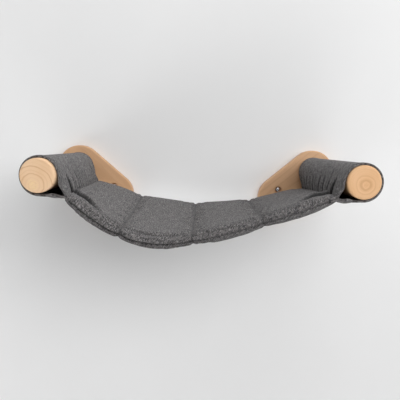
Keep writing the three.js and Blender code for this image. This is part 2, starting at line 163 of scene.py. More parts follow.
class Finish:
    """A material, with methods that add nodes to it."""

    def __init__(self, name, **fixed):
        self.material = bpy.data.materials.new(name)
        self.material.use_nodes = True
        self.tree = self.material.node_tree
        self.shader = self.tree.nodes["Principled BSDF"]
        for socket, value in fixed.items():
            self.shader.inputs[socket.replace("_", " ")].default_value = value

    def node(self, kind, settings, inputs, output=0):
        made = self.tree.nodes.new(kind)
        for name, value in settings.items():
            setattr(made, name, value)
        for key, value in inputs.items():
            if isinstance(value, Number):
                self.tree.links.new(value.socket, made.inputs[key])
            else:
                made.inputs[key].default_value = value
        return Number(self, made.outputs[output])

    def noise(self, vector, scale, detail=2, roughness=0.5):
        values = {"Vector": vector, "Scale": scale, "Detail": detail, "Roughness": roughness}
        return self.node("ShaderNodeTexNoise", {}, values)

    def random(self, number):
        return self.node("ShaderNodeTexWhiteNoise", {"noise_dimensions": "1D"}, {"W": number})

    def parts(self, vector):
        return [self.node("ShaderNodeSeparateXYZ", {}, {"Vector": vector}, k) for k in range(3)]

    def vector(self, x, y, z):
        return self.node("ShaderNodeCombineXYZ", {}, {"X": x, "Y": y, "Z": z})

    def scaled(self, vector, scale):
        return self.node("ShaderNodeVectorMath", {"operation": "MULTIPLY"}, {0: vector, 1: scale})

    def mix(self, share, start, end):
        colours = {0: share, 6: start, 7: end}
        return self.node("ShaderNodeMix", {"data_type": "RGBA"}, colours, 2)

    def placed(self, place=(0, 0, 0), turn=(0, 0, 0)):
        """Each point's place in the piece's own frame, once that is moved and turned."""
        at = self.node("ShaderNodeTexCoord", {}, {}, "Object")
        values = {"Vector": at, "Location": place, "Rotation": turn}
        return self.node("ShaderNodeMapping", {"vector_type": "TEXTURE"}, values)

    def bumped(self, height, distance, strength=1.0):
        values = {"Height": height, "Distance": distance, "Strength": strength}
        self.link(self.node("ShaderNodeBump", {}, values), "Normal")

    def link(self, number, socket):
        self.tree.links.new(number.socket, self.shader.inputs[socket])

    def mottled(self, share, dimmest, shade):
        """Lets the base colour run from a dimmed shade up to the whole of it."""
        self.link(self.mix(share, dimmed(shade, dimmest), colour(*shade)), "Base Color")


def colour(red, green, blue):
    """A linear colour with full alpha."""
    return (red, green, blue, 1)


def dimmed(shade, share):
    return colour(*(share * part for part in shade))


# Pine: how its figure and its fibres are squeezed along the grain in the noise that draws them,
# which makes them long, and how far its rings wander off true circles.
FIGURE_SQUEEZE = (1, 0.12, 1)
FIBRE_SQUEEZE = (1, 0.025, 1)
BROAD_WANDER = 6 * MM
FINE_WANDER = 1.4 * MM
RING_SEED = 3.7
FLECK_TONE = (0.92, 0.70, 0.46)


def pine(name, place, turn, pith, ring_width, tones, bold, core):
    """Sanded pine, with its grain along its own Y and its year rings round a pith parallel to it.

    The tones are pale, deep and the ring line's. A bold ring has a radius, a width and a strength,
    and the core has a radius, a strength and a tone.
    """
    wood = Finish(name, Roughness=0.55)
    point = wood.placed(place, turn)
    x, _, z = wood.parts(point)
    figure = wood.scaled(point, FIGURE_SQUEEZE)
    broad_wander = (wood.noise(figure, 38) - 0.5) * BROAD_WANDER
    fine_wander = (wood.noise(figure, 170) - 0.5) * FINE_WANDER
    wander = broad_wander + fine_wander
    from_pith = ((x - pith[0]) ** 2 + (z - pith[1]) ** 2) ** 0.5 + wander
    ring = from_pith / ring_width
    in_ring = ring.fraction()
    late = in_ring.between(0.6, 0.95) * (1 - in_ring.between(0.96, 1.0))
    strength = wood.random(ring.floor() + RING_SEED) * 0.6 + 0.15
    fibre = wood.noise(wood.scaled(point, FIBRE_SQUEEZE), 1500, 3, 0.6)
    fleck = wood.noise(point, 900, roughness=0.7)
    cloud = wood.noise(figure, 24)
    pale, deep, line = (colour(*tone) for tone in tones)

    grown = wood.mix(cloud.between(0.3, 0.75), pale, deep)
    grown = wood.mix(late * strength * 0.4, grown, line)
    for radius, width, share in bold:
        mark = 1 - ((from_pith - radius) ** 2).between(0, width**2)
        grown = wood.mix(mark * share, grown, line)
    radius, share, tone = core
    speckle = wood.noise(point, 420, roughness=0.7).between(0.35, 0.6)
    in_core = 1 - from_pith.between(radius / 2, radius)
    grown = wood.mix(in_core * speckle * share, grown, colour(*tone))
    grown = wood.mix(fibre.between(0.5, 0.85) * 0.28, grown, line)
    grown = wood.mix(fleck.between(0.55, 0.8) * 0.2, grown, colour(*FLECK_TONE))
    wood.link(grown, "Base Color")
    wood.link(0.48 + fibre * 0.2, "Roughness")
    wood.bumped(fibre * 0.6 - late * 0.4, 0.12 * MM, 0.6)
    return wood.material


# Canvas: what keeps one thread's noise apart from the next one's, how high the threads stand, and
# how far painted shade dims the dark yarn deep in a fold.
THREAD_STEP = 5.3
THREAD_RELIEF = 0.35 * MM
DARKEST_PAINTED_SHADE = 0.2


def canvas(name, tones):
    """Plain-woven heathered canvas of dark, middle and light yarn, with its warp along V.

    Its UV map holds metres along the cloth. Its own point attribute of painted shade runs to 1 deep
    in a fold or a stitched groove, where little light gets in, and darkens the colour there.
    """
    cloth = Finish(name, Roughness=0.92, Sheen_Weight=0.12, Sheen_Roughness=0.5)
    dark, middle, light = (colour(*tone) for tone in tones)
    weave = cloth.node("ShaderNodeUVMap", {"uv_map": "weave"}, {})
    u, v, _ = cloth.parts(weave)
    slub = cloth.noise(weave, 900) * 0.6
    warp = u / THREAD_PITCH + slub
    weft = v / THREAD_PITCH + slub
    over = ((warp.floor() + weft.floor()) * 0.5).fraction() * 2
    along_warp = cloth.vector(warp.floor() * THREAD_STEP, v * 170, 0)
    along_weft = cloth.vector(u * 210, weft.floor() * THREAD_STEP, 9)
    warp_shade = cloth.noise(along_warp, 1, roughness=0.7)
    weft_shade = cloth.noise(along_weft, 1, roughness=0.7)
    shade = warp_shade * over + weft_shade * (1 - over)
    fine_streak = cloth.noise(cloth.scaled(weave, (560, 110, 1)), 1, roughness=0.6)
    broad_streak = cloth.noise(cloth.scaled(weave, (150, 32, 1)), 1, roughness=0.6)
    streak = fine_streak * 0.55 + broad_streak * 0.45
    drift = cloth.noise(weave, 90)
    tone = (shade * 0.5 + streak * 0.5 + drift * 0.1).between(0.42, 0.66)
    salt = cloth.noise(cloth.scaled(weave, (1, 0.6, 1)), 640, detail=1).between(0.50, 0.64)
    pepper = cloth.noise(cloth.scaled(weave, (1, 0.4, 1)), 520, detail=1).between(0.47, 0.60)
    crown = warp.hump() * (1 - over) + weft.hump() * over
    painted_shade = cloth.node("ShaderNodeAttribute", {"attribute_name": "painted_shade"}, {}, "Fac")

    woven = cloth.mix(tone, dark, middle)
    woven = cloth.mix(salt * (0.25 + streak * 0.7), woven, light)
    woven = cloth.mix(pepper * 0.8, woven, dark)
    woven = cloth.mix((1 - crown) * 0.35, woven, dark)
    # Painted shade: the colour darkens towards a dimmed dark yarn deep in folds and grooves.
    woven = cloth.mix(painted_shade, woven, dimmed(tones[0], DARKEST_PAINTED_SHADE))
    cloth.link(woven, "Base Color")
    cloth.bumped(crown, THREAD_RELIEF, 0.7)
    return cloth.material


def thread(name, shade):
    """Twisted sewing thread."""
    yarn = Finish(name, Roughness=0.7, Sheen_Weight=0.2)
    yarn.mottled(yarn.noise(yarn.placed(), 1400), 0.7, shade)
    return yarn.material


def wadding(name):
    """White polyester fibre."""
    fill = Finish(name, Roughness=1.0, Sheen_Weight=0.4)
    fluff = fill.noise(fill.placed(), 260, 4, 0.7)
    fill.link(fill.mix(fluff, colour(0.70, 0.70, 0.68), colour(0.86, 0.86, 0.84)), "Base Color")
    fill.bumped(fluff, 1.5 * MM)
    return fill.material


def metal(name, shade, roughness):
    """Plated metal with fine turning marks."""
    plate = Finish(name, Metallic=1.0)
    marks = plate.noise(plate.scaled(plate.placed(), (1, 6, 1)), 700, 3, 0.6)
    plate.mottled(marks, 0.82, shade)
    plate.link(roughness + marks * 0.14, "Roughness")
    return plate.material


def plastic(name, shade):
    """Moulded nylon."""
    body = Finish(name)
    cloud = body.noise(body.placed(), 300, 3)
    body.mottled(cloud, 0.88, shade)
    body.link(0.42 + cloud * 0.16, "Roughness")
    return body.material


HEATHER_TONES = ((0.026, 0.025, 0.027), (0.22, 0.203, 0.197), (0.44, 0.425, 0.43))
LINING_TONES = ((0.028, 0.026, 0.028), (0.155, 0.143, 0.140), (0.40, 0.375, 0.37))
HEATHER = canvas("heathered_canvas", HEATHER_TONES)
LINING = canvas("lining_canvas", LINING_TONES)
THREAD = thread("grey_thread", (0.10, 0.10, 0.105))
WADDING = wadding("polyester_wadding")
ZINC = metal("bright_zinc", (0.78, 0.79, 0.81), 0.18)
BRASS = metal("brass", (0.78, 0.57, 0.28), 0.26)
NYLON = plastic("grey_nylon", (0.42, 0.43, 0.45))


# ---- Making and shaping pieces ------------------------------------------------------------------

def added(name, data):
    """A new object in the scene."""
    thing = bpy.data.objects.new(name, data)
    bpy.context.scene.collection.objects.link(thing)
    return thing


def alone(piece):
    """Leaves edit mode, and selects this piece and nothing else."""
    if bpy.context.mode != "OBJECT":
        bpy.ops.object.mode_set(mode="OBJECT")
    bpy.ops.object.select_all(action="DESELECT")
    piece.select_set(True)
    bpy.context.view_layer.objects.active = piece


def settle(piece, name):
    """Puts a piece's place, turn and size into its mesh, and names it."""
    alone(piece)
    bpy.ops.object.transform_apply(location=True, rotation=True, scale=True)
    piece.name = name
    piece.data.name = name
    return piece


def choose(piece, kind, wanted):
    """Opens a piece in edit mode with some of its corners, edges or faces selected.

    They are the ones whose corners are all wanted.
    """
    alone(piece)
    bpy.ops.object.mode_set(mode="EDIT")
    bpy.ops.mesh.select_mode(type=kind)
    bpy.ops.mesh.select_all(action="DESELECT")
    bpy.ops.object.mode_set(mode="OBJECT")
    mesh = piece.data
    corner = [wanted(v.co) for v in mesh.vertices]
    if kind == "VERT":
        for vertex, chosen in zip(mesh.vertices, corner):
            vertex.select = chosen
    else:
        for part in mesh.edges if kind == "EDGE" else mesh.polygons:
            part.select = all(corner[v] for v in part.vertices)
    bpy.ops.object.mode_set(mode="EDIT")


def smooth(piece, degrees=35):
    """Shades a piece smooth, but for edges that turn by more than this."""
    alone(piece)
    bpy.ops.object.shade_smooth_by_angle(angle=math.radians(degrees))


def face_outwards(piece):
    """Turns a closed piece's faces outwards."""
    choose(piece, "FACE", lambda at: True)
    bpy.ops.mesh.normals_make_consistent(inside=False)
    bpy.ops.object.mode_set(mode="OBJECT")


def finished(piece, material, body, slot, *nodes):
    """Gives a piece its material and body, and hides the nodes that it stands for. Its slot is not
    used.
    """
    piece.data.materials.clear()
    piece.data.materials.append(material)
    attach(piece, body)
    if nodes:
        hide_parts(*nodes)
    return piece


def near(value, target):
    """Whether two places are the same but for rounding."""
    return abs(value - target) < 0.01 * MM


def cylinder(name, radius, rear, front, x=0.0, z=0.0, sides=64, turn=0.0):
    """A cylinder along Y between two depths."""
    bpy.ops.mesh.primitive_cylinder_add(
        vertices=sides,
        radius=radius,
        depth=rear - front,
        location=(x, (rear + front) / 2, z),
        rotation=(math.pi / 2, turn, 0),
    )
    return settle(bpy.context.active_object, name)


def bevel(piece, depth, width, steps):
    """Rounds or chamfers a piece's edges at one depth."""
    choose(piece, "EDGE", lambda at: near(at.y, depth))
    bpy.ops.mesh.bevel(offset=width, segments=steps)


def drill(piece, cutters):
    """Takes the cutters out of a piece and removes them."""
    for cutter in cutters:
        bpy.context.view_layer.objects.active = piece
        hole = piece.modifiers.new("hole", "BOOLEAN")
        hole.operation = "DIFFERENCE"
        hole.solver = "EXACT"
        hole.object = cutter
        bpy.ops.object.modifier_apply(modifier=hole.name)
        bpy.data.objects.remove(cutter)


# ---- Dowels and boards --------------------------------------------------------------------------

DOWEL_STEPS = 128
BOARD_STEPS = 96
EDGE_STEPS = 6
SCREW_PAIR_SPACING = 29 * MM
SCREW_PLACE = -77.5 * MM  # down the board from the dowel's axis
SCREW_WELL_RADIUS = 7.5 * MM
SCREW_WELL_DEPTH = 6 * MM
SCREW_HOLE_RADIUS = 2.9 * MM
ANCHOR_RELIEF_RADIUS = 6.5 * MM
ANCHOR_RELIEF_DEPTH = 1.6 * MM
BOLT_WELL_RADIUS = 9 * MM
BOLT_WELL_DEPTH = 10.6 * MM
BOLT_HOLE_RADIUS = 4.4 * MM
CUT_PAST = 1 * MM


def dowel(name):
    """A round dowel along Y, with a blind hole in its rear end."""
    x = SIDES[name] * DOWEL_SPACING / 2
    piece = cylinder(
        f"{name}_turned_dowel", DOWEL_RADIUS, DOWEL_REAR, DOWEL_FRONT, x, sides=DOWEL_STEPS
    )
    bevel(piece, DOWEL_FRONT, DOWEL_FRONT_ROUND, EDGE_STEPS)
    bevel(piece, DOWEL_REAR, DOWEL_REAR_CHAMFER, 2)
    choose(piece, "FACE", lambda at: near(at.y, DOWEL_REAR))
    bpy.ops.mesh.inset(thickness=DOWEL_RADIUS - DOWEL_REAR_CHAMFER - INSERT_HOLE_RADIUS)
    bpy.ops.mesh.extrude_region_move(TRANSFORM_OT_translate={"value": (0, -INSERT_HOLE_DEPTH, 0)})
    choose(piece, "FACE", lambda at: near(at.y, DOWEL_FRONT))
    bpy.ops.mesh.inset(thickness=DOWEL_RADIUS / 4)
    smooth(piece)
    return piece


def board(name):
    """A pill-shaped board: a disc with its lower half drawn down, then drilled and turned."""
    piece = cylinder(
        f"{name}_pill_board",
        BOARD_WIDTH / 2,
        0,
        -BOARD_THICKNESS,
        sides=BOARD_STEPS,
        turn=math.pi / BOARD_STEPS,
    )
    choose(piece, "VERT", lambda at: at.z < 0)
    bpy.ops.transform.translate(value=(0, 0, -BOARD_CENTRE_DISTANCE))
    bevel(piece, -BOARD_THICKNESS, BOARD_FRONT_ROUND, EDGE_STEPS)
    bevel(piece, 0, BOARD_REAR_CHAMFER, 2)
    bpy.ops.object.mode_set(mode="OBJECT")
    front = -BOARD_THICKNESS
    beyond = front - CUT_PAST
    cutters = [
        cylinder("cut", BOLT_WELL_RADIUS, CUT_PAST, -BOLT_WELL_DEPTH),
        cylinder("cut", BOLT_HOLE_RADIUS, CUT_PAST, beyond, sides=48),
    ]
    for x in (-SCREW_PAIR_SPACING / 2, SCREW_PAIR_SPACING / 2):
        cutters += [
            cylinder("cut", SCREW_WELL_RADIUS, front + SCREW_WELL_DEPTH, beyond, x, SCREW_PLACE),
            cylinder("cut", SCREW_HOLE_RADIUS, CUT_PAST, beyond, x, SCREW_PLACE, 48),
            cylinder("cut", ANCHOR_RELIEF_RADIUS, CUT_PAST, -ANCHOR_RELIEF_DEPTH, x, SCREW_PLACE),
        ]
    drill(piece, cutters)
    piece.rotation_euler = (0, SIDES[name] * BOARD_TURN, 0)
    piece.location = (SIDES[name] * DOWEL_SPACING / 2, 0, 0)
    settle(piece, piece.name)
    smooth(piece)
    return piece


DOWEL_WOODS = {
    "left": {
        "pith": (-6.3 * MM, -14.2 * MM),  # from the dowel's axis
        "ring_width": 5.4 * MM,
        "tones": ((0.88, 0.61, 0.385), (0.82, 0.54, 0.32), (0.60, 0.33, 0.17)),
        "bold": ((16.4 * MM, 0.9 * MM, 0.45), (27 * MM, 1.0 * MM, 0.55)),
        "core": (9 * MM, 0.5, (0.95, 0.70, 0.36)),
    },
    "right": {
        "pith": (1.3 * MM, -3.1 * MM),
        "ring_width": 3.3 * MM,
        "tones": ((0.80, 0.49, 0.265), (0.75, 0.44, 0.22), (0.54, 0.275, 0.11)),
        "bold": ((6.6 * MM, 2.6 * MM, 0.5), (13.6 * MM, 1.4 * MM, 0.22)),
        "core": (3.4 * MM, 0.4, (0.62, 0.33, 0.13)),
    },
}
BOARD_WOOD = {
    "pith": (12 * MM, 95 * MM),
    "ring_width": 5.5 * MM,
    "tones": ((0.66, 0.40, 0.225), (0.57, 0.325, 0.165), (0.36, 0.175, 0.07)),
    "bold": (),
    "core": (3 * MM, 0.1, (0.62, 0.33, 0.13)),
}

for name, side in SIDES.items():
    axis = (side * DOWEL_SPACING / 2, 0, 0)
    down_the_board = (math.pi / 2, side * BOARD_TURN, 0)
    dowel_wood = pine(f"{name}_dowel_pine", axis, (0, 0, 0), **DOWEL_WOODS[name])
    board_wood = pine(f"{name}_board_pine", axis, down_the_board, **BOARD_WOOD)
    finished(dowel(name), dowel_wood, "wall_brackets", "wood_dowel", f"{name}_dowel")
    finished(board(name), board_wood, "wall_brackets", "wood_board", f"{name}_wall_board")


# ---- How the mat hangs --------------------------------------------------------------------------

SAG_STEPS = 2000


def seam_place(side, stand_off, angle):
    """Where a sleeve's seam lies: its X and Z."""
    reach = DOWEL_RADIUS + stand_off
    angle = math.radians(angle)
    x = side * (DOWEL_SPACING / 2 - reach * math.cos(angle))
    return np.array([x, -reach * math.sin(angle)])


class Sag:
    """The middle line of the mat at one edge, from the left sleeve's seam to the right one.

    A point on it is found by the share of its length that leads up to it.
    """

    def __init__(self, hang):
        ends = []
        handles = []
        for name, side in SIDES.items():
            stand_off, angle, slope, pull = hang[name]
            end = seam_place(side, stand_off, angle)
            slope = math.radians(slope)
            ends.append(end)
            handles.append(end - pull * np.array([side * math.cos(slope), math.sin(slope)]))
        corners = np.array([ends[0], handles[0], handles[1], ends[1]])
        t = np.linspace(0, 1, SAG_STEPS + 1)[:, None]
        weights = np.hstack([(1 - t) ** 3, 3 * t * (1 - t) ** 2, 3 * t**2 * (1 - t), t**3])
        self.line = weights @ corners
        steps = np.linalg.norm(np.diff(self.line, axis=0), axis=1)
        reached = np.concatenate([[0], np.cumsum(steps)])
        self.length = reached[-1]
        self.share = reached / self.length
        headings = np.gradient(self.line, axis=0)
        self.headings = headings / np.linalg.norm(headings, axis=1)[:, None]

    def at(self, share):
        return [np.interp(share, self.share, self.line[:, k]) for k in range(2)]

    def heading(self, share):
        return [np.interp(share, self.share, self.headings[:, k]) for k in range(2)]


front_sag = Sag(FRONT_HANG)
rear_sag = Sag(REAR_HANG)
MAT_LENGTH = front_sag.length
SEAMS = [0, *np.cumsum(CHANNEL_WIDTHS), MAT_LENGTH]


def on_mat(along, rise, y):
    """Points at a length along the mat, at a rise above its middle surface and at depth y."""
    along, rise, y = np.broadcast_arrays(along, rise, y)
    share = np.clip((y - MAT_FRONT) / (MAT_REAR - MAT_FRONT), 0, 1)
    held = np.clip(along, 0, MAT_LENGTH)
    u = held / MAT_LENGTH
    place = [a + (b - a) * share for a, b in zip(front_sag.at(u), rear_sag.at(u))]
    heading = [a + (b - a) * share for a, b in zip(front_sag.heading(u), rear_sag.heading(u))]
    size = np.hypot(*heading)
    run, climb = heading[0] / size, heading[1] / size
    dip = CRADLE_DIP * np.sin(np.pi * u) * np.sin(np.pi * share)
    past = along - held
    x = place[0] + run * past - climb * rise
    z = place[1] + climb * past + run * rise - dip
    return np.stack([x, y, z], axis=-1)


def ease(share):
    """0 up to 0, 1 from 1 on, and smooth between."""
    share = np.clip(share, 0, 1)
    return share * share * (3 - 2 * share)


def bell(distance, width):
    """1 at no distance, and down to 0 on either side."""
    return np.exp(-((distance / width) ** 2))


def nearest(values, target):
    """The index of the value that is nearest to a target."""
    return int(np.argmin(np.abs(values - target)))


def pillow(share):
    """How full a channel is, from 0 at its two seams to 1 in its middle."""
    return np.sqrt(np.maximum(0, 1 - np.abs(2 * share - 1) ** PILLOW_POWER))


SANDWICH = SEAT_GAP / 2 + SLEEVE_THICKNESS + SEAT_GAP
END_HALF = SANDWICH + COVER_THICKNESS


def half_thickness(along, crown):
    """Half the mat's thickness at a place along it, and how full its channel is there."""
    n = int(np.clip(np.searchsorted(SEAMS, along), 1, len(SEAMS) - 1))
    share = float(np.clip((along - SEAMS[n - 1]) / (SEAMS[n] - SEAMS[n - 1]), 0, 1))
    first = END_HALF if n == 1 else SEAM_THICKNESS / 2
    last = END_HALF if n == len(SEAMS) - 1 else SEAM_THICKNESS / 2
    base = first + (last - first) * share
    full = float(pillow(share))
    return base + max(0, crown - base) * full, full


# ---- Mat: one pillow is simulated, and its two covers and its wadding are taken from it ---------

CHANNEL_STEP = 4.6 * MM
ARC_STEPS = 12  # round the front or rear edge
FLAT_STEPS = 68
SECTION_COUNT = 2 * (ARC_STEPS + FLAT_STEPS)
EDGE_SEAM_STEP = 3  # where the covers meet, counted up the arc from below
TOPSTITCH_STEP = 5  # where the edge is topstitched
SEAM_SINK = 1.1 * MM
START_CROWN = 9.2 * MM
END_ROWS = 3
SIM_FRAMES = 20
MOST_MOVE = 2.6 * MM


def opposite(step):
    """The place round the rear edge that answers to a place round the front edge."""
    return 2 * ARC_STEPS + FLAT_STEPS - step


def along_places():
    """Places along the mat, with one on every seam."""
    start, end = COVER_SETBACK, MAT_LENGTH - COVER_SETBACK
    stops = [start, *SEAMS[1:-1], end]
    runs = []
    for low, high in zip(stops, stops[1:]):
        count = round((high - low) / CHANNEL_STEP)
        runs.append(np.linspace(low, high, count + 1)[:-1])
    return np.concatenate([*runs, [end]])


def loop_places(draw_in, half, sink):
    """The mat's section as depths and rises.

    It runs up round the front edge, back along the top, and round again below.
    """
    swing = np.linspace(-np.pi / 2, np.pi / 2, ARC_STEPS + 1)
    arc_depth = EDGE_ROLL * (1 - np.cos(swing))
    arc_rise = half * np.sin(swing)
    for step, share in ((EDGE_SEAM_STEP, 0.8), (TOPSTITCH_STEP, 1)):
        arc_depth[step] += share * sink * math.cos(swing[step])
        arc_rise[step] -= share * sink * math.sin(swing[step])
    front = MAT_FRONT + draw_in + arc_depth
    rear = MAT_REAR - draw_in - arc_depth
    flat = np.linspace(front[-1], rear[-1], FLAT_STEPS + 1)[1:-1]
    depths = np.concatenate([front, flat, rear[::-1], flat[::-1]])
    level = np.full(len(flat), half)
    rises = np.concatenate([arc_rise, level, arc_rise[::-1], -level])
    return depths, rises


def pillow_rings(places, sink=SEAM_SINK, inset=0):
    """The pillow's sections at some places along the mat."""
    rings = []
    for along in places:
        half, full = half_thickness(along, START_CROWN)
        depths, rises = loop_places(SEAM_DRAW_IN * (1 - full) + inset, half - inset, sink)
        rings.append(on_mat(along, rises, depths))
    return np.array(rings)


def mesh_piece(name, points, faces, uv=None):
    """A mesh piece from its corners and faces, with its UV map in metres."""
    mesh = bpy.data.meshes.new(name)
    mesh.from_pydata([tuple(p) for p in np.asarray(points).reshape(-1, 3)], [], faces)
    if uv is not None:
        flat_uv = np.asarray(uv).reshape(-1, 2)
        corners = np.empty(len(mesh.loops), np.int32)
        mesh.loops.foreach_get("vertex_index", corners)
        mesh.uv_layers.new(name="weave").data.foreach_set("uv", flat_uv[corners].ravel())
    mesh.validate()
    return added(name, mesh)


def grid_faces(rows, columns, wrap=False):
    last = columns if wrap else columns - 1
    faces = []
    for r in range(rows - 1):
        for c in range(last):
            a = r * columns + c
            b = r * columns + (c + 1) % columns
            faces.append((a, b, b + columns, a + columns))
    return faces


def inflate(rings):
    """Swells the pillow between its seams with cloth, and gives its rings as they end up.

    A ladder of faces closes either end. The seams, the stitched rows and the ends are held.
    """
    rows, count = rings.shape[:2]
    faces = grid_faces(rows, count, wrap=True)
    for base, flip in ((0, False), ((rows - 1) * count, True)):
        low = ARC_STEPS // 2
        ring = list(range(base, base + count))
        around = ring[low:] + ring[:low]
        for k in range(count // 2 - 1):
            quad = (around[k], around[k + 1], around[count - 2 - k], around[count - 1 - k])
            faces.append(quad if flip else quad[::-1])
    pad = mesh_piece("pad", rings, faces)
    face_outwards(pad)
    held = np.zeros((rows, count), bool)
    held[:END_ROWS] = held[-END_ROWS:] = True
    for seam in SEAMS[1:-1]:
        held[nearest(places, seam)] = True
    for step in (EDGE_SEAM_STEP, TOPSTITCH_STEP):
        held[:, [step, opposite(step)]] = True
    pad.vertex_groups.new(name="sewn").add([int(i) for i in np.flatnonzero(held)], 1.0, "REPLACE")
    cloth = pad.modifiers.new("swell", "CLOTH")
    fabric = cloth.settings
    fabric.quality = 6
    fabric.mass = 0.25
    fabric.tension_stiffness = fabric.compression_stiffness = 18
    fabric.shear_stiffness = 6
    fabric.bending_stiffness = 0.35
    fabric.shrink_min = -0.01
    fabric.use_pressure = True
    fabric.uniform_pressure_force = 3
    fabric.vertex_group_mass = "sewn"
    fabric.effector_weights.gravity = 0
    cloth.collision_settings.use_collision = False
    cloth.point_cache.frame_end = SIM_FRAMES
    for step in range(1, SIM_FRAMES + 1):
        bpy.context.scene.frame_set(step)
    swollen = pad.evaluated_get(bpy.context.evaluated_depsgraph_get()).to_mesh()
    moved = np.empty(len(swollen.vertices) * 3, np.float32)
    swollen.vertices.foreach_get("co", moved)
    bpy.context.scene.frame_set(1)
    bpy.data.objects.remove(pad)
    shift = moved.reshape(rings.shape) - rings
    size = np.linalg.norm(shift, axis=-1, keepdims=True)
    return rings + shift * np.minimum(1, MOST_MOVE / np.maximum(size, 1e-9))


places = along_places()
start_rings = pillow_rings(places)
swollen = inflate(start_rings)


def outward(grid, wrap=False):
    """A grid's normals, on the side away from the middle of its rings."""
    if wrap:
        across = np.roll(grid, -1, axis=1) - np.roll(grid, 1, axis=1)
    else:
        across = np.gradient(grid, axis=1)
    normals = np.cross(across, np.gradient(grid, axis=0))
    normals /= np.maximum(np.linalg.norm(normals, axis=-1, keepdims=True), 1e-12)
    away = grid - grid.mean(axis=1, keepdims=True)
    return normals if np.sum(normals * away) > 0 else -normals


def shell(name, outer, inner, uv, painted_shade):
    """A closed sheet from the grids of its two faces, with its UV map and each point's painted
    shade.
    """
    rows, columns = outer.shape[:2]
    size = rows * columns
    faces = grid_faces(rows, columns)
    faces += [tuple(size + k for k in reversed(face)) for face in faces]
    rim = [r * columns for r in range(rows)]
    rim += [(rows - 1) * columns + c for c in range(1, columns)]
    rim += [r * columns + columns - 1 for r in range(rows - 2, -1, -1)]
    rim += list(range(columns - 2, 0, -1))
    for a, b in zip(rim, rim[1:] + rim[:1]):
        faces.append((a, b, size + b, size + a))
    points = np.concatenate([outer.reshape(-1, 3), inner.reshape(-1, 3)])
    piece = mesh_piece(name, points, faces, np.concatenate([uv.reshape(-1, 2)] * 2))
    # Each point's painted shade, which the canvas darkens its colour by.
    deep = np.tile(np.clip(painted_shade, 0, 1).ravel(), 2).astype(np.float32)
    piece.data.attributes.new("painted_shade", "FLOAT", "POINT").data.foreach_set("value", deep)
    face_outwards(piece)
    return piece


def arc_lengths(grid, axis):
    """How far along its row or column each point of a grid lies."""
    steps = np.linalg.norm(np.diff(grid, axis=axis), axis=-1)
    zero = np.zeros_like(np.take(steps, [0], axis=axis))
    return np.concatenate([zero, np.cumsum(steps, axis=axis)], axis=axis)


NEAR_STEPS = ARC_STEPS + 14  # the front edge and what lies just behind it, which is drawn finest
REAR_END = opposite(0) + 1

CORNER_FOLD_BACK = 42 * MM  # from the mat's front edge to the fold, at a sleeve's seam
CORNER_FOLD_LENGTH = 62 * MM
CORNER_FOLD_DEPTH = 6.5 * MM
CORNER_SINK = 0.25  # the shares of that depth by which the cloth sinks, and rises behind
CORNER_RISE = 0.8
RIDGE_BACK = 14 * MM  # from the front edge to the hollow behind it
RIDGE_DEPTH = 1.1 * MM
VALLEY_WIDTH = 3 * MM
BROW_BACK = 9 * MM  # from the valley of a fold to the swelling behind it
BROW_WIDTH = 6.5 * MM
STEP_BACK = 1.5 * MM  # from the valley to the middle of the face between the two, where shade is painted
STEP_WIDTH = 4.5 * MM
STITCH_GROOVE = 1.3 * MM
GROOVE_WIDTH = 1.2 * MM
CROSS_SEAM_SHADE_WIDTH = 1.6 * MM

PUCKER_DEPTH = 0.9 * MM
PUCKER_PITCH = 13 * MM
PUCKER_DRIFT = 31 * MM
PUCKER_START = 4 * MM  # from a seam to where its puckers are full, before they fade
PUCKER_REACH = 14 * MM
PUCKER_SEED = 5

# How dark painted shade makes each: the first channel's grooves are painted darker than the
# others'.
CORNER_PAINTED_SHADE = 1.2
RIDGE_PAINTED_SHADE = 0.35
CROSS_SEAM_PAINTED_SHADE = 0.6
PUCKER_PAINTED_SHADE = 0.3
FIRST_GROOVE_PAINTED_SHADE = 0.6
GROOVE_PAINTED_SHADE = 0.2


def resampled(grid, at, axis, wrap=False):
    """A grid's rows or columns at places between them, on smooth curves."""
    lines = np.moveaxis(grid, axis, 0)
    low = np.floor(at).astype(int)
    t = (at - low)[:, None, None]
    around = []
    for k in (-1, 0, 1, 2):
        index = (low + k) % len(lines) if wrap else np.clip(low + k, 0, len(lines) - 1)
        around.append(lines[index])
    a, b, c, d = around
    bend = 2 * a - 5 * b + 4 * c - d
    curve = b + (c - a) * t / 2 + bend * t**2 / 2 + (3 * (b - c) + d - a) * t**3 / 2
    return np.moveaxis(curve, 0, axis)


column_at = np.concatenate(
    [
        np.arange(0, 3 * NEAR_STEPS) / 3,
        np.arange(2 * NEAR_STEPS, 2 * REAR_END) / 2,
        np.arange(REAR_END, SECTION_COUNT),
    ]
)
row_at = np.arange(2 * len(places) - 1) / 2
row_places = np.interp(row_at, np.arange(len(places)), places)


def column_of(step):
    return nearest(column_at, step)


